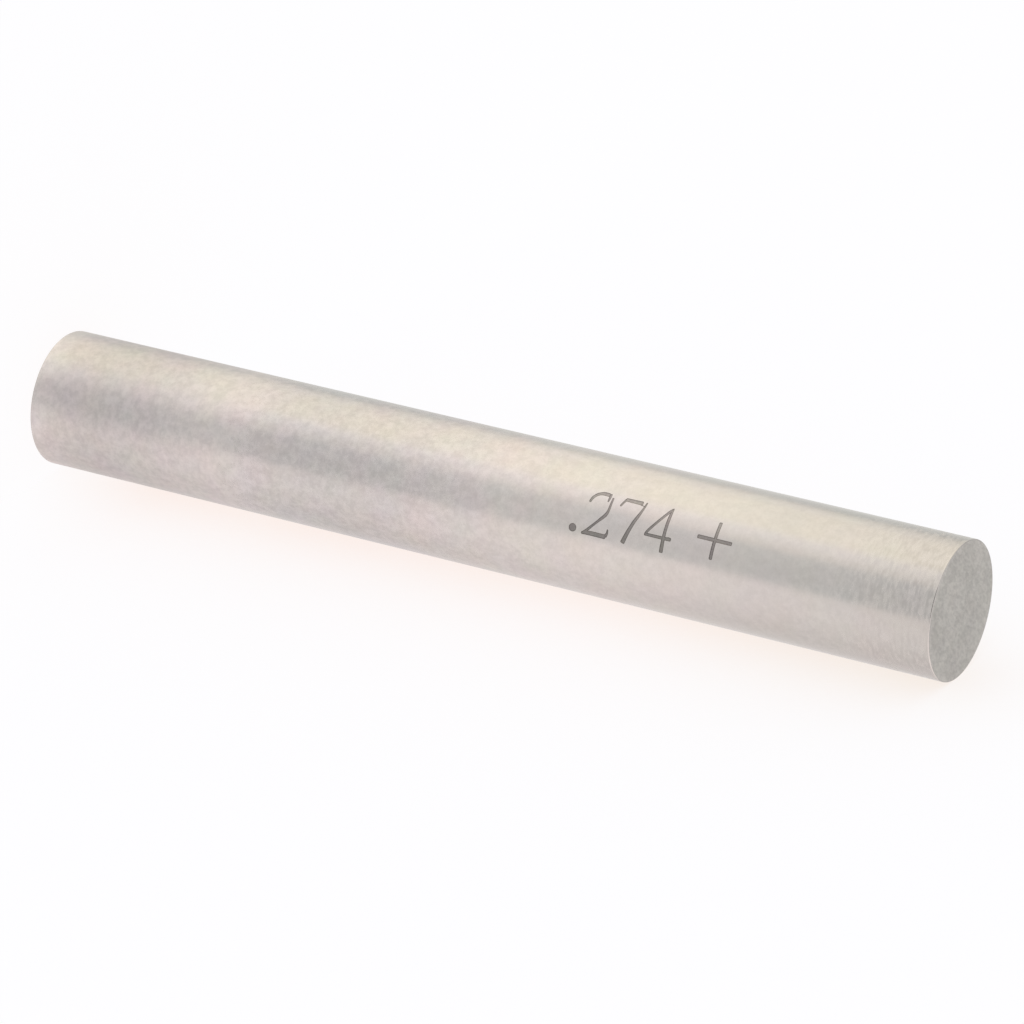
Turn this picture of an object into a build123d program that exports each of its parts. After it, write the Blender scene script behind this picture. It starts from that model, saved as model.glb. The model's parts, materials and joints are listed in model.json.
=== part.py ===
from build123d import *
import os

# A plain cylindrical pin gauge of 0.274 inch, for checking the size of a drilled or reamed hole.
# It is one piece: a hardened steel pin, ground and lapped to size, with flat ends square to its axis.
# It stands on one end with its axis along +Z, and the origin is the centre of that end face.

# Driving dimensions, in millimetres
GAUGE_DIAMETER = 0.274 * IN  # the size of the gauge, held over its whole length
GAUGE_LENGTH = 2.0 * IN  # from one end face to the other
EDGE_RADIUS = 0.05  # both ends are stoned, so that no burr marks the hole

with BuildPart() as gauge_pin:
    # Half of the lengthwise section, from the axis out to the ground surface
    with BuildSketch(Plane.XZ):
        Rectangle(GAUGE_DIAMETER / 2, GAUGE_LENGTH, align=(Align.MIN, Align.MIN))
    revolve(axis=Axis.Z)

    # The circles where the two end faces meet the ground surface
    end_edges = gauge_pin.edges().filter_by(GeomType.CIRCLE)
    fillet(end_edges, radius=EDGE_RADIUS)

gauge_pin.part.label = "gauge_pin"

os.makedirs("parts", exist_ok=True)
export_step(gauge_pin.part, "parts/gauge_pin.step")
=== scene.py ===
"""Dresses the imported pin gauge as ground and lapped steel, with its size etched on one side.

Run as a script, it builds the pin and the studio round it. The pin stands on its end along +Z, and
the studio's backdrop is the table that the pin lies against when the picture is turned on its side.
"""

import json
import math

import bpy
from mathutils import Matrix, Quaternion, Vector
from mathutils.bvhtree import BVHTree
from mathutils.geometry import delaunay_2d_cdt


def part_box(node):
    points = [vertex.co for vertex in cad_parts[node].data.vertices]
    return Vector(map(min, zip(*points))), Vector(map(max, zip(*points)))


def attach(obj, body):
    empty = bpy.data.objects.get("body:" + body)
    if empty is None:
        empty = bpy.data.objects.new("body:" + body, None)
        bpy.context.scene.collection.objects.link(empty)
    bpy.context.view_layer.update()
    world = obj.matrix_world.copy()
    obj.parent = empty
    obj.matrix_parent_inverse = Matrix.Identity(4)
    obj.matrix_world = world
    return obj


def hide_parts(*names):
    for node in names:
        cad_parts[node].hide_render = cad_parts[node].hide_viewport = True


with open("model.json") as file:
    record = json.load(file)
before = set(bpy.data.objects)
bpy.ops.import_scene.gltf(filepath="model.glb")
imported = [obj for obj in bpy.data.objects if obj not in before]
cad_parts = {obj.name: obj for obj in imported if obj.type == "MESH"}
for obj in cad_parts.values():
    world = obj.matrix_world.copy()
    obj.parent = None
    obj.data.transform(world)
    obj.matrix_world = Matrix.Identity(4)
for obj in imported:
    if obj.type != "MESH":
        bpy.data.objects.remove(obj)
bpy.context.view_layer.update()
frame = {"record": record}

bl_info = {
    "name": "Pin Gauge",
    "version": (1, 0, 0),
    "blender": (4, 5, 0),
    "location": "3D View > Sidebar > Pin Gauge",
    "description": "A plain steel pin gauge with its size etched on it, and a small studio",
    "category": "Add Mesh",
}

MM = 0.001
INCH = 25.4
NODE = "gauge_pin"

# The pin's own sizes, in millimetres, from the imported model
LOWEST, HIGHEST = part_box(NODE)
LENGTH = (HIGHEST.z - LOWEST.z) / MM
GAUGING = next(m for m in frame["record"]["mounts"] if m["name"] == "gauging_cylinder")
RADIUS = GAUGING["dims"]["r_mm"]
EDGE_RADIUS = (LENGTH - GAUGING["dims"]["length_mm"]) / 2

# How finely the pin and the pen strokes are divided, the step along a stroke in millimetres
COLUMNS = 192
EDGE_STEPS = 5
PEN_STEP = 0.03
DOT_CORNERS = 28

# A stroke's narrowest half width, the length over which its ends are rounded and the share of its
# width that is left at the very end
LEAST_PEN = 0.006
END_ROUNDING = 0.05
END_SHARE = 0.55

# Bare steel round the mark that is divided along with it, and how close together two points of the
# mark are one, in millimetres
PATCH_MARGIN = 0.4
MERGE_DISTANCE = 0.0005

# The kind of result for which delaunay_2d_cdt fills the whole stretch with triangles
FILLED = 0

# Below these, a length in millimetres and an area in square millimetres count as nothing
NO_LENGTH = 1e-6
NO_AREA = 1e-9

# The pin's finishes, as places in its list of materials
GROUND, STONED, LAPPED, OUTLINE, FILL = range(5)

# Plain numerals, cut as a marking stencil has them. Each pen stroke is a smooth line of points
# (x, y, width) in millimetres, for a character 2.25 mm high on a baseline at y = 0, and a stroke
# of one point is a round dot. The number after the strokes is the room that the character takes.
CHARACTERS = {
    " ": ([], 1.12),
    ".": ([[(0.20, 0.19, 0.41)]], 0.69),
    "2": (
        [
            [(0.05, 1.59, 0.13), (0.12, 1.83, 0.15), (0.26, 2.01, 0.16), (0.43, 2.12, 0.17),
             (0.65, 2.17, 0.20), (0.95, 2.16, 0.20)],
            [(1.00, 2.25, 0.10), (0.99, 2.03, 0.13), (0.97, 1.79, 0.08)],
            [(1.17, 2.07, 0.10), (1.17, 1.73, 0.12), (1.16, 1.38, 0.14), (1.09, 1.15, 0.18),
             (0.93, 0.94, 0.17), (0.69, 0.67, 0.13), (0.25, 0.19, 0.15), (0.02, 0.01, 0.14)],
            [(0.03, 0.03, 0.12), (0.38, 0.10, 0.22), (1.34, 0.10, 0.23)],
            [(1.30, 0.10, 0.20), (1.37, 0.23, 0.15), (1.39, 0.35, 0.11), (1.38, 0.48, 0.08)],
        ],
        1.65,
    ),
    "4": (
        [
            [(1.07, 2.21, 0.08), (0.95, 2.01, 0.14), (0.65, 1.56, 0.14), (0.40, 1.21, 0.14),
             (0.20, 0.93, 0.14), (0.07, 0.71, 0.13)],
            [(1.09, 2.25, 0.09), (1.07, 2.03, 0.14), (1.06, 1.63, 0.17), (1.06, 1.03, 0.17),
             (1.07, 0.53, 0.19), (1.08, -0.02, 0.21)],
            [(0.02, 0.69, 0.15), (1.14, 0.69, 0.17), (1.32, 0.70, 0.19), (1.48, 0.69, 0.17)],
        ],
        1.65,
    ),
    "7": (
        [
            [(0.02, 1.73, 0.11), (0.11, 1.92, 0.12), (0.22, 2.15, 0.13)],
            [(0.17, 2.13, 0.19), (1.13, 2.13, 0.22)],
            [(1.00, 2.04, 0.05), (1.27, 1.99, 0.05)],
            [(1.31, 2.23, 0.08), (1.28, 2.01, 0.11), (1.21, 1.73, 0.13), (1.11, 1.43, 0.17),
             (0.99, 1.13, 0.18), (0.89, 0.83, 0.19), (0.79, 0.53, 0.21), (0.62, 0.00, 0.24)],
        ],
        1.66,
    ),
    "+": (
        [
            [(0.00, 1.18, 0.20), (1.87, 1.17, 0.19)],
            [(0.95, 2.11, 0.17), (0.95, 0.21, 0.18)],
        ],
        1.87,
    ),
}
CHARACTER_HEIGHT = 2.25

# Tints of the steel, and of the light that it mirrors
ROSY = (1.0, 0.989, 1.005)
GREY = (1.0, 1.005, 1.021)
PLAIN = (1.0, 0.994, 0.99)
STRAW = (1.0, 1.01, 1.003)
BUFF = (0.967, 0.98, 0.958)
DIM = (1.0, 0.995, 0.999)
OLIVE = (1.0, 1.003, 0.977)
SAND = (1.0, 0.973, 0.908)
WARM = (1.0, 0.96, 0.87)
PALE = (1.0, 0.965, 0.945)
PINK = (1.0, 0.955, 0.95)

# How bright the ground side is along the pin: (millimetres from the lower end, brightness, tint).
# Handling has dulled it in two places with a rubbed ring between, and holes dull the upper end.
SHINE = [
    (0.0, 1.115, ROSY),
    (1.2, 1.035, ROSY),
    (3.8, 0.97, ROSY),
    (7.5, 1.015, ROSY),
    (11.4, 1.09, ROSY),
    (14.0, 1.01, GREY),
    (17.0, 1.005, GREY),
    (19.5, 1.01, GREY),
    (23.0, 1.075, ROSY),
    (29.0, 1.125, PLAIN),
    (35.0, 1.12, PLAIN),
    (42.0, 1.04, STRAW),
    (46.5, 1.015, STRAW),
    (50.8, 0.965, STRAW),
]

# How mottled, how hazy and how patchy it is along the pin: (millimetres, three shares)
WEAR = [
    (0.0, (0.94, 0.95, 0.25)),
    (7.5, (0.94, 0.9, 0.25)),
    (11.4, (0.85, 0.75, 0.22)),
    (14.0, (0.9, 0.4, 0.22)),
    (19.5, (0.9, 0.4, 0.22)),
    (23.0, (0.85, 0.5, 0.15)),
    (29.0, (0.6, 0.35, 0.1)),
    (35.0, (0.45, 0.2, 0.08)),
    (43.0, (0.4, 0.05, 0.15)),
    (46.5, (0.68, 0.15, 0.6)),
    (50.8, (0.9, 0.25, 0.85)),
]

# What a share of 1 gives: how much the mottling varies the tone, how much roughness haze adds, and
# how much its patches vary the roughness
MOTTLING = 0.225
HAZE = 0.19
PATCHES = 0.4

# Near the upper end, scratches across the pin take over from the blotches: from how far up to how
# far up in millimetres, and their share at either height
SCRATCH_HEIGHTS = (44.0, 48.5)
SCRATCH_SHARES = (0.1, 0.8)

# The same end is rubbed most on the side that the mark is on, and least towards the table: the
# heights between which that sets in, the places across the pin between which it changes over, and
# what it adds to the mottling on either side of them
RUBBED_HEIGHTS = (44.0, 47.0)
RUBBED_PLACES = (0.4, 2.0)
RUBBED_MORE = (0.15, -0.35)

# The heights between which the ground side's stains fade, and how strong they are at either
STAIN_HEIGHTS = (26.0, 40.0)
STAIN_STRENGTHS = (0.1, 0.045)

# Painted highlight: how much lighter the steel is at the rim, on the side and on the end faces
SIDE_RIM = 0.05
END_RIM = 0.07

# How dark the stoned edges are, and the bottom of the pits in the end faces
STONED_SHADE = 0.95
PIT_SHADE = 0.84

# Places across the pin, in millimetres, between which the etching darkens from the head of the
# characters to their foot: painted light at the head and painted shade at the foot
HEAD_TO_FOOT = (-1.1, 0.9)

# What the side of the pin mirrors, going round it: (azimuth in degrees, brightness, tint).
# A warm light stands over the table, the room round the camera is dim, and the table is pinkish.
WALLS = [
    (-180, 0.86, PINK),
    (-150, 0.80, OLIVE),
    (-128, 0.775, OLIVE),
    (-119, 0.955, SAND),
    (-111, 1.085, SAND),
    (-98, 1.17, WARM),
    (-75, 1.22, WARM),
    (-52, 1.22, WARM),
    (-40, 1.16, PALE),
    (-28, 1.07, PALE),
    (-20, 0.955, PALE),
    (-13, 0.825, DIM),
    (0, 0.795, DIM),
    (20, 0.77, DIM),
    (31, 0.79, DIM),
    (40, 0.995, PINK),
    (56, 1.015, PINK),
    (80, 0.995, PINK),
    (105, 0.92, PINK),
    (128, 0.865, PINK),
    (180, 0.86, PINK),
]

# A colour ramp holds nothing above 1, so its stops are divided by this, and its colours multiplied
BRIGHTEST = 1.3

# The width of the camera's sensor, in millimetres
SENSOR_WIDTH = 36


class PinGaugeMarkSettings(bpy.types.PropertyGroup):
    """The size that is etched on the pin."""

    text: bpy.props.StringProperty(
        name="Size Mark",
        description="The pin's diameter in inches, then the side of it that the tolerance lies on",
        default=f"{2 * RADIUS / INCH:.3f}".lstrip("0") + " +",
    )
    from_upper_end: bpy.props.FloatProperty(
        name="From Upper End",
        description="Bare length between the mark and the upper end of the pin",
        default=10.8 * MM,
        unit="LENGTH",
    )
    outline_width: bpy.props.FloatProperty(
        name="Outline Width",
        description="Width of the dark sloping wall round every stroke",
        default=0.042 * MM,
        unit="LENGTH",
    )
    depth: bpy.props.FloatProperty(
        name="Depth",
        description="How far the strokes are etched into the surface",
        default=0.008 * MM,
        unit="LENGTH",
    )


class PinGaugeSteelSettings(bpy.types.PropertyGroup):
    """Colours and finish of the steel."""

    steel: bpy.props.FloatVectorProperty(
        name="Steel",
        description="Colour of the ground and lapped steel",
        default=(0.60, 0.565, 0.54),
        subtype="COLOR",
        size=3,
    )
    etched: bpy.props.FloatVectorProperty(
        name="Etched",
        description="Colour at the bottom of the etched strokes",
        default=(0.30, 0.277, 0.261),
        subtype="COLOR",
        size=3,
    )
    etched_edge: bpy.props.FloatVectorProperty(
        name="Etched Edge",
        description="Colour of the dark line round the etched strokes",
        default=(0.205, 0.188, 0.175),
        subtype="COLOR",
        size=3,
    )
    roughness: bpy.props.FloatProperty(
        name="Roughness",
        description="Roughness of the ground side where nothing has dulled it",
        default=0.17,
        subtype="FACTOR",
    )


class PinGaugeStudioSettings(bpy.types.PropertyGroup):
    """The camera and the pale table round the pin."""

    azimuth: bpy.props.FloatProperty(
        name="Azimuth",
        description="Side that the camera looks from, 0 being -Y",
        default=math.radians(8.02),
        subtype="ANGLE",
    )
    elevation: bpy.props.FloatProperty(
        name="Elevation",
        description="Height of the camera above the level of the point that it looks at",
        default=math.radians(27.01),
        subtype="ANGLE",
    )
    roll: bpy.props.FloatProperty(
        name="Roll",
        description="Turn of the camera about its line of sight, which lays the pin on its side",
        default=math.radians(103.51),
        subtype="ANGLE",
    )
    distance: bpy.props.FloatProperty(
        name="Distance",
        description="From the camera to the point that it looks at",
        default=272.4 * MM,
        unit="LENGTH",
    )
    target: bpy.props.FloatVectorProperty(
        name="Target",
        description="The point in the middle of the picture",
        default=(0.41 * MM, 0.06 * MM, 26.42 * MM),
        unit="LENGTH",
        size=3,
    )
    focal_length: bpy.props.FloatProperty(
        name="Focal Length",
        description=f"Focal length of the lens, for a sensor {SENSOR_WIDTH} mm wide",
        default=194.46,
        unit="CAMERA",
    )
    table_angle: bpy.props.FloatProperty(
        name="Table Angle",
        description="Side of the pin, from -Y towards -X, that faces away from the table behind it",
        default=math.radians(54.1),
        subtype="ANGLE",
    )
    white: bpy.props.FloatVectorProperty(
        name="White",
        description="Colour of the table in full light",
        default=(0.994, 0.992, 1.004),
        subtype="COLOR",
        size=3,
    )
    light: bpy.props.FloatVectorProperty(
        name="Light",
        description="How much of the white is gone where no light reaches the table",
        default=(0.049, 0.24, 0.338),
        subtype="COLOR",
        size=3,
    )
    floor_shadow: bpy.props.FloatProperty(
        name="Floor Shadow",
        description="How dark the floor's shadow is, against the one on the table behind the pin",
        default=0.35,
        subtype="FACTOR",
    )


class NodeTree:
    """Adds nodes to a tree. An input is a value or the socket that feeds it."""

    def __init__(self, tree):
        self.tree = tree

    def add(self, kind, inputs=(), **settings):
        node = self.tree.nodes.new(kind)
        for name, value in settings.items():
            setattr(node, name, value)
        for key, value in dict(inputs).items():
            if isinstance(value, bpy.types.NodeSocket):
                self.tree.links.new(value, node.inputs[key])
            else:
                node.inputs[key].default_value = value
        return node

    def group(self, tree, inputs):
        return self.add("ShaderNodeGroup", inputs, node_tree=tree).outputs

    def math(self, operation, *values):
        return self.add("ShaderNodeMath", enumerate(values), operation=operation).outputs[0]

    def plus(self, a, b):
        return self.math("ADD", a, b)

    def times(self, a, b):
        return self.math("MULTIPLY", a, b)

    def vector_math(self, operation, *values):
        inputs = enumerate(values)
        return self.add("ShaderNodeVectorMath", inputs, operation=operation).outputs["Vector"]

    def scaled(self, vector, factor):
        inputs = {"Vector": vector, "Scale": factor}
        return self.add("ShaderNodeVectorMath", inputs, operation="SCALE").outputs["Vector"]

    def tinted(self, colour, tint):
        return self.vector_math("MULTIPLY", colour, tint)

    def parts(self, vector):
        """The X, Y and Z of a vector."""
        return self.add("ShaderNodeSeparateXYZ", {"Vector": vector}).outputs

    def ramp(self, value, start, end, low=0.0, high=1.0):
        """Low up to start, then smoothly to high at end."""
        ends = {"Value": value, "From Min": start, "From Max": end, "To Min": low, "To Max": high}
        smooth = self.add("ShaderNodeMapRange", ends, interpolation_type="SMOOTHSTEP")
        return smooth.outputs["Result"]

    def noise(self, vector, scale, detail=2.0, roughness=0.55):
        inputs = {"Vector": vector, "Scale": scale, "Detail": detail, "Roughness": roughness}
        return self.add("ShaderNodeTexNoise", inputs).outputs["Fac"]

    def varied(self, tone, amount):
        """A factor round 1 that a tone from 0 to 1 makes vary by an amount."""
        return self.plus(self.times(self.plus(tone, -0.5), amount), 1.0)

    def between_stops(self, value, stops):
        """Three numbers at a value, on a smooth line through stops of (value, three numbers)."""
        first = stops[0][0]
        last = stops[-1][0]
        ends = {"Value": value, "From Min": first, "From Max": last}
        fraction = self.add("ShaderNodeMapRange", ends).outputs["Result"]
        line = self.add("ShaderNodeValToRGB", {"Fac": fraction})
        elements = line.color_ramp.elements
        while len(elements) < len(stops):
            elements.new(position=0.5)
        for element, (place, numbers) in zip(elements, stops):
            element.position = (place - first) / (last - first)
            element.color = (*[number / BRIGHTEST for number in numbers], 1.0)
        line.color_ramp.interpolation = "CARDINAL"
        return self.scaled(line.outputs["Color"], BRIGHTEST)

    def tints_between(self, value, stops):
        """The colour at a value, on a smooth line through stops of (value, brightness, tint)."""
        colours = []
        for place, brightness, tint in stops:
            colours.append((place, [brightness * part for part in tint]))
        return self.between_stops(value, colours)

    def background(self, colour):
        return self.add("ShaderNodeBackground", {"Color": colour}).outputs[0]

    def mixed(self, share, first, second):
        """The first shader, which gives way to the second as the share goes from 0 to 1."""
        return self.add("ShaderNodeMixShader", {0: share, 1: first, 2: second}).outputs[0]


def new_group(name, inputs, outputs):
    """An empty shader node group, from inputs (name, kind, default) and outputs (name, kind)."""
    group = bpy.data.node_groups.new(name, "ShaderNodeTree")
    for label, kind, default in inputs:
        socket = group.interface.new_socket(label, in_out="INPUT", socket_type=f"NodeSocket{kind}")
        if default is not None:
            socket.default_value = default
    for label, kind in outputs:
        group.interface.new_socket(label, in_out="OUTPUT", socket_type=f"NodeSocket{kind}")
    tree = NodeTree(group)
    return tree, tree.add("NodeGroupInput").outputs


def lapping_group():
    """The fine mottling and the short scratches that lapping leaves, as a tone from 0 to 1."""
    tree, given = new_group(
        "Lapping Marks",
        [
            ("Position", "Vector", None),
            ("Blotch Size", "Float", 0.5),
            ("Scratch Scale", "Vector", (1.0, 1.0, 8.0)),
            ("Scratches", "Float", 0.4),
        ],
        [("Tone", "Float"), ("Height", "Float")],
    )
    place = given["Position"]
    blotch_scale = tree.math("DIVIDE", 1.0, given["Blotch Size"])
    blotches = tree.noise(place, blotch_scale, detail=3.0, roughness=0.75)
    stretched = tree.vector_math("MULTIPLY", place, given["Scratch Scale"])
    scratches = tree.noise(stretched, scale=1.0)
    both = {"Factor": given["Scratches"], "A": blotches, "B": scratches}
    height = tree.add("ShaderNodeMix", both).outputs["Result"]
    tone = tree.ramp(height, start=0.28, end=0.72)
    tree.add("NodeGroupOutput", {"Tone": tone, "Height": height})
    return tree.tree


def rim_group():
    """How close the surface is to the circles where the ends meet the side, from 0 to 1."""
    # The mask that places the painted highlight along the rims
    tree, given = new_group(
        "Painted Rim Highlight",
        [("Position", "Vector", None), ("Width", "Float", 0.15)],
        [("Mask", "Float")],
    )
    place = tree.parts(given["Position"])
    squares = tree.plus(tree.times(place["X"], place["X"]), tree.times(place["Y"], place["Y"]))
    inward = tree.math("SUBTRACT", RADIUS, tree.math("SQRT", squares))
    along = tree.math("MINIMUM", place["Z"], tree.math("SUBTRACT", LENGTH, place["Z"]))
    mask = tree.ramp(tree.plus(inward, along), 0.0, given["Width"], low=1.0, high=0.0)
    tree.add("NodeGroupOutput", {"Mask": mask})
    return tree.tree


def stain_group():
    """Faint clouds of colour, as a tint that wanders round white."""
    tree, given = new_group(
        "Stains",
        [("Position", "Vector", None), ("Scale", "Float", 0.5), ("Amount", "Float", 0.1)],
        [("Tint", "Color")],
    )
    noise = {"Vector": given["Position"], "Scale": given["Scale"]}
    clouds = tree.add("ShaderNodeTexNoise", noise).outputs["Color"]
    middle_grey = (0.5, 0.5, 0.5)
    white = (1, 1, 1)
    around_zero = tree.vector_math("SUBTRACT", clouds, middle_grey)
    tint = tree.vector_math("ADD", tree.scaled(around_zero, given["Amount"]), white)
    tree.add("NodeGroupOutput", {"Tint": tint})
    return tree.tree


def etch_light_group():
    """Painted light and shade on the etching, from the head of the characters to their foot."""
    tree, given = new_group(
        "Painted Etch Light",
        [("Position", "Vector", None), ("Head", "Float", 1.0), ("Foot", "Float", 1.0)],
        [("Tone", "Float")],
    )
    across = tree.parts(given["Position"])["X"]
    tone = tree.ramp(across, *HEAD_TO_FOOT, given["Head"], given["Foot"])
    tree.add("NodeGroupOutput", {"Tone": tone})
    return tree.tree


def position_in_mm(tree):
    """Where the surface is in the pin's own frame, in millimetres."""
    return tree.scaled(tree.add("ShaderNodeTexCoord").outputs["Object"], 1 / MM)


def new_material(name):
    material = bpy.data.materials.new(name)
    material.use_nodes = True
    material.node_tree.nodes.clear()
    return material, NodeTree(material.node_tree)


def steel_surface(tree, colour, tone, roughness, relief, relief_height):
    """The metal itself. Its tone, roughness and relief vary, the relief's height in millimetres."""
    bump = tree.add("ShaderNodeBump", {"Height": relief, "Distance": relief_height * MM})
    metal = tree.add(
        "ShaderNodeBsdfPrincipled",
        {
            "Base Color": tree.scaled(colour, tone),
            "Roughness": roughness,
            "Normal": bump.outputs["Normal"],
            "Metallic": 1.0,
        },
    )
    tree.add("ShaderNodeOutputMaterial", {"Surface": metal.outputs["BSDF"]})


def ground_steel(groups, settings):
    """The side: mottled where it is handled, and scratched across where it goes into holes."""
    material, tree = new_material("ground_steel")
    place = position_in_mm(tree)
    across, _, height = tree.parts(place)
    mottled, hazy, patchy = tree.parts(tree.between_stops(height, WEAR))
    rubbed = tree.ramp(across, *RUBBED_PLACES, *RUBBED_MORE)
    rubbing = tree.math("MULTIPLY_ADD", tree.ramp(height, *RUBBED_HEIGHTS), rubbed, 1.0)
    mottled = tree.times(mottled, rubbing)
    marks = tree.group(
        groups["lapping"],
        {
            "Position": place,
            "Blotch Size": 0.42,
            "Scratch Scale": (2.2, 2.2, 6.0),
            "Scratches": tree.ramp(height, *SCRATCH_HEIGHTS, *SCRATCH_SHARES),
        },
    )
    rim = tree.group(groups["rim"], {"Position": place, "Width": 0.16})["Mask"]
    amount = tree.ramp(height, *STAIN_HEIGHTS, *STAIN_STRENGTHS)
    stain = tree.group(groups["stain"], {"Position": place, "Scale": 0.5, "Amount": amount})["Tint"]

    tone = tree.varied(marks["Tone"], tree.times(mottled, MOTTLING))
    # A painted highlight along the rim of the side
    tone = tree.math("MULTIPLY_ADD", rim, SIDE_RIM, tone)
    colour = tree.tinted(tree.tints_between(height, SHINE), tuple(settings.steel))
    colour = tree.tinted(colour, stain)
    patches = tree.times(tree.plus(marks["Tone"], -0.5), tree.times(patchy, PATCHES))
    roughness = tree.plus(tree.math("MULTIPLY_ADD", hazy, HAZE, patches), settings.roughness)
    relief = tree.times(marks["Height"], mottled)
    steel_surface(tree, colour, tone, roughness, relief, relief_height=0.004)
    return material


def stoned_steel(groups, settings):
    """The broken edges, which a stone has run round once."""
    material, tree = new_material("stoned_edge")
    place = position_in_mm(tree)
    marks = tree.group(
        groups["lapping"],
        {
            "Position": place,
            "Blotch Size": 0.2,
            "Scratch Scale": (1.5, 1.5, 20.0),
            "Scratches": 0.5,
        },
    )
    tone = tree.times(STONED_SHADE, tree.varied(marks["Tone"], amount=0.2))
    colour = tuple(settings.steel)
    steel_surface(tree, colour, tone, roughness=0.2, relief=marks["Height"], relief_height=0.002)
    return material


def lapped_steel(groups, settings):
    """The end faces: lapped flat, with a few dark pits."""
    material, tree = new_material("lapped_end_steel")
    place = position_in_mm(tree)
    marks = tree.group(
        groups["lapping"],
        {
            "Position": place,
            "Blotch Size": 0.2,
            "Scratch Scale": (6.5, 3.0, 3.0),
            "Scratches": 0.75,
        },
    )
    cells = tree.add("ShaderNodeTexVoronoi", {"Vector": place, "Scale": 1.1})
    pits = tree.ramp(cells.outputs["Distance"], start=0.02, end=0.10, low=PIT_SHADE)
    clouds = tree.ramp(tree.noise(place, scale=0.7), start=0.36, end=0.64)
    rim = tree.group(groups["rim"], {"Position": place, "Width": 0.5})["Mask"]
    stain = tree.group(groups["stain"], {"Position": place, "Scale": 0.8, "Amount": 0.03})["Tint"]

    # A painted highlight along the rim of the end face
    tone = tree.math("MULTIPLY_ADD", rim, END_RIM, 1.0)
    tone = tree.times(tree.times(tone, pits), tree.varied(clouds, amount=0.09))
    tone = tree.times(tone, tree.varied(marks["Tone"], amount=0.265))
    buff_steel = [part * share for part, share in zip(settings.steel, BUFF)]
    colour = tree.tinted(buff_steel, stain)
    steel_surface(tree, colour, tone, roughness=0.30, relief=marks["Height"], relief_height=0.0015)
    return material


def etched_steel(groups, name, colour, roughness):
    """Steel that the marking acid has eaten grey, with painted light and shade."""
    material, tree = new_material(name)
    place = position_in_mm(tree)
    marks = tree.group(
        groups["lapping"],
        {
            "Position": place,
            "Blotch Size": 0.15,
            "Scratch Scale": (14.0, 14.0, 9.0),
            "Scratches": 0.4,
        },
    )
    # Painted light and shade: lighter at the head of the characters, darker at their foot
    painted_etch_light = tree.group(groups["etch_light"], {"Position": place, "Head": 1.22, "Foot": 0.935})["Tone"]
    stain = tree.group(groups["stain"], {"Position": place, "Scale": 1.2, "Amount": 0.12})["Tint"]
    tone = tree.times(painted_etch_light, tree.varied(marks["Tone"], amount=0.28))
    stained = tree.tinted(tuple(colour), stain)
    steel_surface(tree, stained, tone, roughness, marks["Height"], relief_height=0.0015)
    return material


class Surface:
    """A closed surface in the making, in millimetres. Each face has a finish and corner normals."""

    def __init__(self):
        self.points = []
        self.faces = []
        self.finishes = []
        self.normals = []

    def point(self, place):
        self.points.append(place)
        return len(self.points) - 1

    def ring(self, radius, height):
        """One point a column, going round from -Y towards -X."""
        return [self.point(on_cylinder(radius, turn(column), height)) for column in range(COLUMNS)]

    def face(self, corners, finish, normals):
        self.faces.append(corners)
        self.finishes.append(finish)
        self.normals.extend(normals)

    def band(self, lower, upper, columns, finish, lower_tilt=0.0, upper_tilt=0.0):
        """Faces between two rings. The tilts are the angles of the normals above the level."""
        for column in columns:
            after = column + 1
            corners = [lower[column], upper[column], upper[after % COLUMNS], lower[after % COLUMNS]]
            tilts = (lower_tilt, upper_tilt, upper_tilt, lower_tilt)
            places = (column, column, after, after)
            self.face(corners, finish, [outward(turn(p), t) for p, t in zip(places, tilts)])

    def to_object(self, name, materials):
        mesh = bpy.data.meshes.new(name)
        mesh.from_pydata([place * MM for place in self.points], [], self.faces)
        for material in materials:
            mesh.materials.append(material)
        mesh.polygons.foreach_set("material_index", self.finishes)
        mesh.polygons.foreach_set("use_smooth", [True] * len(self.faces))
        mesh.update()
        mesh.normals_split_custom_set(self.normals)
        made = bpy.data.objects.new(name, mesh)
        bpy.context.scene.collection.objects.link(made)
        return made


def turn(column):
    """The angle of a column from -Y towards -X. It needn't be a whole number."""
    return 2 * math.pi * column / COLUMNS


def outward(angle, tilt=0.0):
    """The direction that faces away from the axis at an angle, tilted up from the level."""
    level = math.cos(tilt)
    return Vector((-level * math.sin(angle), -level * math.cos(angle), math.sin(tilt)))


def on_cylinder(radius, angle, height):
    return radius * outward(angle) + Vector((0, 0, height))


def smooth_line(points):
    """Points (x, y, width) close together on a smooth line through the given ones."""
    line = [Vector(p) for p in points]
    line = [2 * line[0] - line[1], *line, 2 * line[-1] - line[-2]]
    made = []
    for before, start, end, after in zip(line, line[1:], line[2:], line[3:]):
        slope_in = (end - before) / 2
        slope_out = (after - start) / 2
        steps = max(1, round((end - start).length / PEN_STEP))
        for step in range(steps):
            t = step / steps
            made.append(
                (2 * t**3 - 3 * t**2 + 1) * start
                + (t**3 - 2 * t**2 + t) * slope_in
                + (3 * t**2 - 2 * t**3) * end
                + (t**3 - t**2) * slope_out
            )
    return [*made, line[-2]]


def dot_face(x, y, width, inset):
    """A round dot, drawn in by an inset."""
    reach = width / 2 - inset
    angles = [2 * math.pi * i / DOT_CORNERS for i in range(DOT_CORNERS)]
    return [Vector((x + reach * math.cos(a), y + reach * math.sin(a))) for a in angles]


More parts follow.
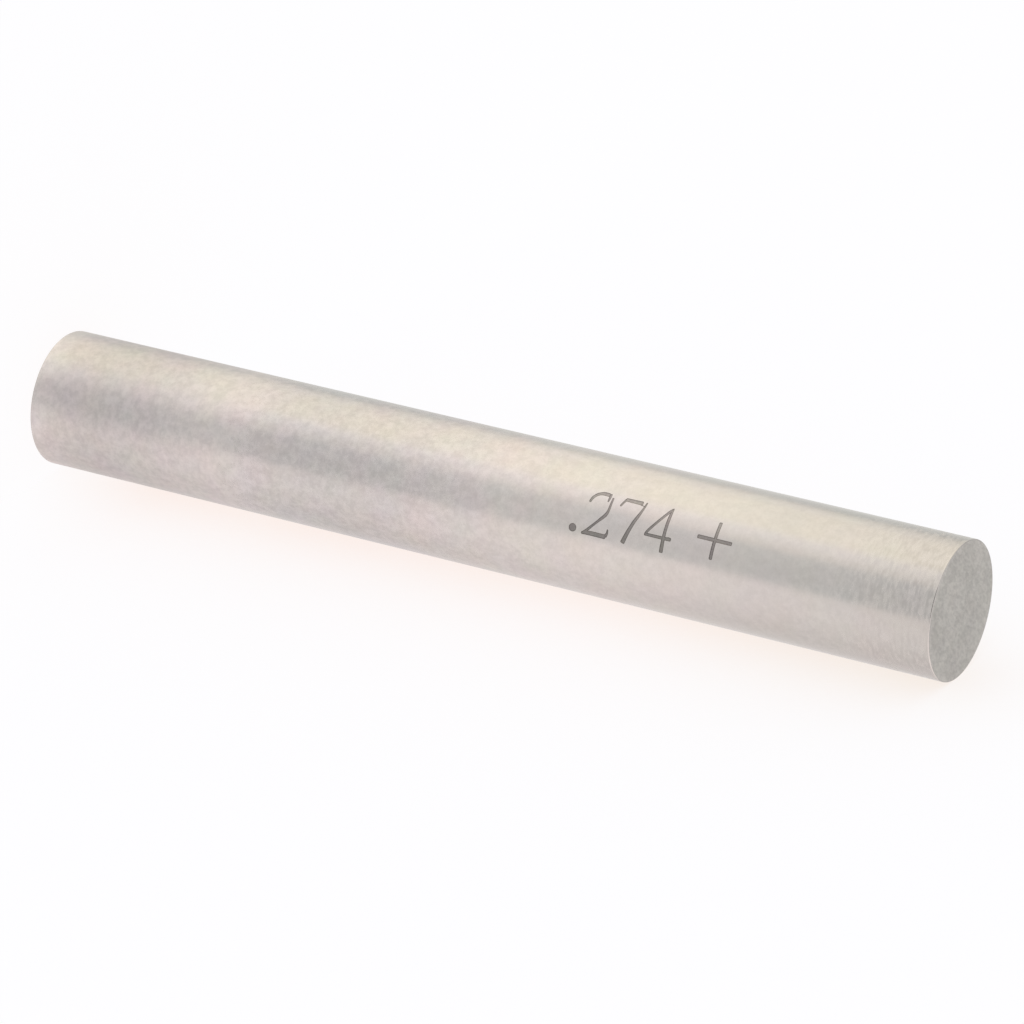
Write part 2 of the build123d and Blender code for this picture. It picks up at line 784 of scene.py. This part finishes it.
def stroke_faces(stroke, inset):
    """The convex faces that a pen stroke covers, drawn in by an inset all round."""
    line = smooth_line(stroke)
    last = len(line) - 1
    travel = [0.0]
    for a, b in zip(line, line[1:]):
        travel.append(travel[-1] + (b.xy - a.xy).length)
    shifts = {0: inset, last: -inset}
    sides = []
    for i, here in enumerate(line):
        from_end = min(travel[i], travel[-1] - travel[i]) - inset
        if from_end < -NO_LENGTH and 0 < i < last:
            continue
        along = (line[min(i + 1, last)].xy - line[max(i - 1, 0)].xy).normalized()
        middle = here.xy + along * shifts.get(i, 0.0)
        rounding = min(max(from_end, 0.0) / END_ROUNDING, 1.0)
        share = END_SHARE + (1 - END_SHARE) * math.sqrt(1 - (1 - rounding) ** 2)
        across = Vector((-along.y, along.x)) * max(here.z / 2 - inset, LEAST_PEN) * share
        sides.append((middle + across, middle - across))
    return [[r0, r1, l1, l0] for (l0, r0), (l1, r1) in zip(sides, sides[1:])]


def mark_faces(text, start, inset):
    """The faces that a line of text covers.

    Places on them are (height on the pin, arc length from the middle of the line of text).
    """
    faces = []
    for character in text:
        if character not in CHARACTERS:
            raise ValueError(f"there is no stencil for the character {character!r}")
        strokes, room = CHARACTERS[character]
        shift = Vector((start, -CHARACTER_HEIGHT / 2))
        for stroke in strokes:
            is_dot = len(stroke) == 1
            drawn = [dot_face(*stroke[0], inset)] if is_dot else stroke_faces(stroke, inset)
            for corners in drawn:
                faces.append([corner + shift for corner in corners])
        start += room
    return faces


def mark_length(text):
    return sum(CHARACTERS[character][1] for character in text)


def joined_faces(faces, first=()):
    """The points of faces in one list, after any first ones, and each face as places in it."""
    points = list(first)
    loops = []
    for corners in faces:
        loops.append(list(range(len(points), len(points) + len(corners))))
        points += corners
    return points, loops


def are_covered(places, faces):
    """Whether each flat place lies on any of the flat faces."""
    points, loops = joined_faces(faces)
    tree = BVHTree.FromPolygons([point.to_3d() for point in points], loops)
    down = Vector((0, 0, -1))
    return [tree.ray_cast(place.to_3d() - down, down)[0] is not None for place in places]


def add_marked_patch(surface, lower, upper, columns, heights, mark):
    """The stretch of the side that carries the mark, between two rings of the pin."""
    column_width = RADIUS * turn(1)
    low, high = heights
    ends = []
    for column in (*columns, columns[-1] + 1):
        ends += [Vector((low, column * column_width)), Vector((high, column * column_width))]
    edges = [(i, i + 1) for i in range(0, len(ends), 2)]

    # Every stroke is there twice: its whole outline, and its floor inside the sloping wall
    start = high - PATCH_MARGIN - mark_length(mark.text)
    whole = mark_faces(mark.text, start, 0.0)
    floors = mark_faces(mark.text, start, mark.outline_width / MM)
    points, loops = joined_faces(whole + floors, ends)
    divided = delaunay_2d_cdt(points, edges, loops, FILLED, MERGE_DISTANCE)
    flat, _, triangles, from_points, _, _ = divided

    middles = [sum((flat[i] for i in triangle), Vector((0, 0))) / 3 for triangle in triangles]
    in_strokes = are_covered(middles, whole)
    on_floors = are_covered(middles, floors)
    sunk = {i for triangle, on_floor in zip(triangles, on_floors) if on_floor for i in triangle}
    depth = mark.depth / MM
    ring_points = {}
    for i in range(len(ends)):
        ring = upper if i % 2 else lower
        ring_points[i] = ring[(columns[0] + i // 2) % COLUMNS]
    placed = []
    for i, (place, sources) in enumerate(zip(flat, from_points)):
        known = [ring_points[s] for s in sources if s in ring_points]
        if known:
            placed.append(known[0])
            continue
        radius = RADIUS - depth if i in sunk else RADIUS
        placed.append(surface.point(on_cylinder(radius, place.y / RADIUS, place.x)))

    for triangle, in_stroke, on_floor in zip(triangles, in_strokes, on_floors):
        corners = [placed[i] for i in triangle]
        normals = [outward(flat[i].y / RADIUS) for i in triangle]
        finish = GROUND
        if on_floor:
            finish = FILL
        elif in_stroke:
            finish = OUTLINE
            a, b, c = (surface.points[i] for i in corners)
            slope = (b - a).cross(c - a)
            if slope.length > NO_AREA:
                normals = [slope.normalized()] * 3
        surface.face(corners, finish, normals)


def pin_surface(mark):
    """The whole outside of the pin, from its lower end face to its upper one."""
    surface = Surface()
    every_column = range(COLUMNS)
    steps = [math.pi / 2 * i / EDGE_STEPS for i in range(EDGE_STEPS + 1)]

    # The lower end face and its edge, up to the ground side
    lower_edge = []
    for angle in steps:
        reach = EDGE_RADIUS * math.sin(angle)
        rise = EDGE_RADIUS * (1 - math.cos(angle))
        lower_edge.append(surface.ring(RADIUS - EDGE_RADIUS + reach, rise))
    surface.face(lower_edge[0], LAPPED, [Vector((0, 0, -1))] * COLUMNS)
    for ring, above, angle, after in zip(lower_edge, lower_edge[1:], steps, steps[1:]):
        surface.band(ring, above, every_column, STONED, angle - math.pi / 2, after - math.pi / 2)

    # The side, with the rings below and above the mark
    patch_top = LENGTH - mark.from_upper_end / MM + PATCH_MARGIN
    patch_bottom = patch_top - mark_length(mark.text) - 2 * PATCH_MARGIN
    below = surface.ring(RADIUS, patch_bottom)
    above_mark = surface.ring(RADIUS, patch_top)
    half_columns = math.ceil((CHARACTER_HEIGHT / 2 + PATCH_MARGIN / 2) / (RADIUS * turn(1)))
    patch_columns = range(-half_columns, half_columns)
    bare_columns = range(half_columns, COLUMNS - half_columns)
    surface.band(lower_edge[-1], below, every_column, GROUND)
    surface.band(below, above_mark, bare_columns, GROUND)
    add_marked_patch(surface, below, above_mark, patch_columns, (patch_bottom, patch_top), mark)

    # The edge at the upper end, and its face
    upper_edge = []
    for angle in steps:
        reach = EDGE_RADIUS * math.cos(angle)
        rise = EDGE_RADIUS * math.sin(angle)
        upper_edge.append(surface.ring(RADIUS - EDGE_RADIUS + reach, LENGTH - EDGE_RADIUS + rise))
    surface.band(above_mark, upper_edge[0], every_column, GROUND)
    for ring, above, angle, after in zip(upper_edge, upper_edge[1:], steps, steps[1:]):
        surface.band(ring, above, every_column, STONED, angle, after)
    surface.face(upper_edge[-1][::-1], LAPPED, [Vector((0, 0, 1))] * COLUMNS)
    return surface


class PINGAUGE_OT_add_pin(bpy.types.Operator):
    """Adds the steel pin, with its broken edges, its finishes and its etched size mark."""

    bl_idname = "pin_gauge.add_pin"
    bl_label = "Add Pin"

    def execute(self, context):
        steel = context.scene.pin_gauge_steel
        groups = {
            "lapping": lapping_group(),
            "rim": rim_group(),
            "stain": stain_group(),
            "etch_light": etch_light_group(),
        }
        materials = [
            ground_steel(groups, steel),
            stoned_steel(groups, steel),
            lapped_steel(groups, steel),
            etched_steel(groups, "etched_outline", steel.etched_edge, roughness=0.30),
            etched_steel(groups, "etched_fill", steel.etched, roughness=0.26),
        ]
        pin = pin_surface(context.scene.pin_gauge_mark).to_object("marked_pin", materials)
        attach(pin, "root")
        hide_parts(NODE)
        return {"FINISHED"}


# Length of the floor and of the table behind the pin, in metres
TABLE_LENGTH = 1.6

# How far up the table behind the pin its shadow reaches full strength, in millimetres
SHADOW_RISE = 7.0

# Where up the table the shadow begins to deepen and where it is deepest, in millimetres, and how
# much more of the white is gone there
DEEPENING = (30.0, 50.0)
DEEPEST = (0.1, 0.04, 0.06)


def add_plane(name, centre, right, up, width, height, material):
    """A rectangle that faces right x up. Metal mirrors the world's studio and not it."""
    corners = [(-1, -1), (1, -1), (1, 1), (-1, 1)]
    places = [centre + right * (x * width / 2) + up * (y * height / 2) for x, y in corners]
    mesh = bpy.data.meshes.new(name)
    mesh.from_pydata(places, [], [(0, 1, 2, 3)])
    mesh.materials.append(material)
    plane = bpy.data.objects.new(name, mesh)
    bpy.context.scene.collection.objects.link(plane)
    plane.visible_glossy = False
    return plane


def table_material(settings):
    """A pale table that is almost white and takes a faint warm shadow. It is clear from behind."""
    material, tree = new_material("studio_table")
    height = tree.parts(position_in_mm(tree))["Z"]
    shadow = tree.ramp(height, 0.0, SHADOW_RISE, settings.floor_shadow, 1.0)
    deeper = tree.scaled(DEEPEST, tree.ramp(height, *DEEPENING))

    # The table glows in its shade, and the light that reaches it brings it up to white
    light = tree.vector_math("MULTIPLY_ADD", tuple(settings.light), shadow, deeper)
    shade = tree.vector_math("SUBTRACT", tuple(settings.white), light)
    glow = tree.add("ShaderNodeEmission", {"Color": shade, "Strength": 1.0}).outputs[0]
    lit = tree.add("ShaderNodeBsdfDiffuse", {"Color": light}).outputs[0]
    front = tree.add("ShaderNodeAddShader", {0: glow, 1: lit}).outputs[0]
    behind = tree.add("ShaderNodeNewGeometry").outputs["Backfacing"]
    clear = tree.add("ShaderNodeBsdfTransparent").outputs[0]
    tree.add("ShaderNodeOutputMaterial", {"Surface": tree.mixed(behind, front, clear)})
    material.cycles.emission_sampling = "NONE"
    return material


# Where the walls give way to the grey above them, and that grey from low to overhead. Heights are
# the sine of the angle above the level.
WALLS_END = (-0.1, 0.45)
GREY_HEIGHTS = (0.3, 1.0)
GREY_TONES = (0.62, 0.95)

# Two round patches, which the broken edges mirror most: a pinkish lamp over the table, as (azimuth,
# elevation), and the camera's dark front. The spreads are their half widths, and the share is the
# part of those that a patch covers fully.
LAMP_SIDE = (math.radians(105), math.radians(35))
LAMP_SPREAD = math.radians(55)
LAMP_COLOUR = (1.26, 1.19, 1.17)
CAMERA_SPREAD = math.radians(28)
CAMERA_COLOUR = (0.02, 0.02, 0.02)
COVERED_SHARE = 0.7


def studio_world(settings):
    """The same white as the table, and a plain studio that only the metal mirrors."""
    world = bpy.data.worlds.new("studio")
    world.use_nodes = True
    world.node_tree.nodes.clear()
    tree = NodeTree(world.node_tree)
    direction = tree.add("ShaderNodeTexCoord").outputs["Generated"]
    place = tree.parts(direction)
    azimuth = tree.math("DEGREES", tree.math("ARCTAN2", place["X"], tree.times(place["Y"], -1.0)))
    walls = tree.background(tree.tints_between(azimuth, WALLS))
    grey = tree.background(tree.ramp(place["Z"], *GREY_HEIGHTS, *GREY_TONES))
    mirrored = tree.mixed(tree.ramp(place["Z"], *WALLS_END), walls, grey)
    camera_at = (settings.azimuth, settings.elevation)
    patches = [
        (LAMP_SIDE, LAMP_SPREAD, LAMP_COLOUR),
        (camera_at, CAMERA_SPREAD, CAMERA_COLOUR),
    ]
    for side, spread, colour in patches:
        towards = {0: direction, 1: direction_to(*side)}
        product = tree.add("ShaderNodeVectorMath", towards, operation="DOT_PRODUCT")
        cosine = product.outputs["Value"]
        covered = tree.ramp(cosine, math.cos(spread), math.cos(COVERED_SHARE * spread))
        mirrored = tree.mixed(covered, mirrored, tree.background((*colour, 1.0)))

    white = tree.background((*settings.white, 1.0))
    glossy = tree.add("ShaderNodeLightPath").outputs["Is Glossy Ray"]
    tree.add("ShaderNodeOutputWorld", {"Surface": tree.mixed(glossy, white, mirrored)})
    world.cycles.sampling_method = "NONE"
    return world


def direction_to(azimuth, elevation):
    """The direction at an azimuth, 0 being -Y, and an elevation above the level."""
    level = math.cos(elevation)
    return Vector((level * math.sin(azimuth), -level * math.cos(azimuth), math.sin(elevation)))


def add_camera(settings):
    """The camera, turned so that the pin lies across the picture."""
    back = direction_to(settings.azimuth, settings.elevation)
    camera = bpy.data.objects.new("camera", bpy.data.cameras.new("camera"))
    bpy.context.scene.collection.objects.link(camera)
    camera.location = Vector(settings.target) + back * settings.distance
    camera.rotation_mode = "QUATERNION"
    upright = (-back).to_track_quat("-Z", "Y")
    camera.rotation_quaternion = upright @ Quaternion((0, 0, 1), settings.roll)
    camera.data.lens = settings.focal_length
    camera.data.sensor_width = SENSOR_WIDTH
    camera.data.clip_start = 0.01
    camera.data.clip_end = 10.0
    bpy.context.scene.camera = camera


class PINGAUGE_OT_add_studio(bpy.types.Operator):
    """Adds the floor under the pin, the table behind it, the light and the camera."""

    bl_idname = "pin_gauge.add_studio"
    bl_label = "Add Studio"

    def execute(self, context):
        scene = context.scene
        settings = scene.pin_gauge_studio
        scene.view_settings.view_transform = "Standard"
        scene.world = studio_world(settings)
        right = Vector((1, 0, 0))
        away = Vector((0, 1, 0))
        up = Vector((0, 0, 1))
        on_floor = Vector((0, 0, LOWEST.z))
        table = table_material(settings)
        add_plane("floor", on_floor, right, away, TABLE_LENGTH, TABLE_LENGTH, table)
        facing = outward(settings.table_angle)
        height = TABLE_LENGTH / 2
        centre = on_floor - facing * RADIUS * MM + up * height / 2
        add_plane("backdrop", centre, up.cross(facing), up, TABLE_LENGTH, height, table)
        add_camera(settings)
        return {"FINISHED"}


class PINGAUGE_PT_panel(bpy.types.Panel):
    """Lists the settings and the steps that build the pin gauge."""

    bl_label = "Pin Gauge"
    bl_idname = "PINGAUGE_PT_panel"
    bl_space_type = "VIEW_3D"
    bl_region_type = "UI"
    bl_category = "Pin Gauge"

    def draw(self, context):
        layout = self.layout
        for operator, settings in STEPS:
            layout.operator(operator.bl_idname)
            for group in settings:
                values = getattr(context.scene, group)
                for name in values.__annotations__:
                    layout.prop(values, name)


GROUPS = {
    "pin_gauge_mark": PinGaugeMarkSettings,
    "pin_gauge_steel": PinGaugeSteelSettings,
    "pin_gauge_studio": PinGaugeStudioSettings,
}
STEPS = [
    (PINGAUGE_OT_add_studio, ["pin_gauge_studio"]),
    (PINGAUGE_OT_add_pin, ["pin_gauge_mark", "pin_gauge_steel"]),
]
CLASSES = [*GROUPS.values(), PINGAUGE_OT_add_studio, PINGAUGE_OT_add_pin, PINGAUGE_PT_panel]


def register():
    for kind in CLASSES:
        bpy.utils.register_class(kind)
    for name, kind in GROUPS.items():
        setattr(bpy.types.Scene, name, bpy.props.PointerProperty(type=kind))


def unregister():
    for name in GROUPS:
        delattr(bpy.types.Scene, name)
    for kind in reversed(CLASSES):
        bpy.utils.unregister_class(kind)


def main():
    register()
    bpy.ops.pin_gauge.add_studio()
    bpy.ops.pin_gauge.add_pin()


if __name__ == "__main__":
    main()
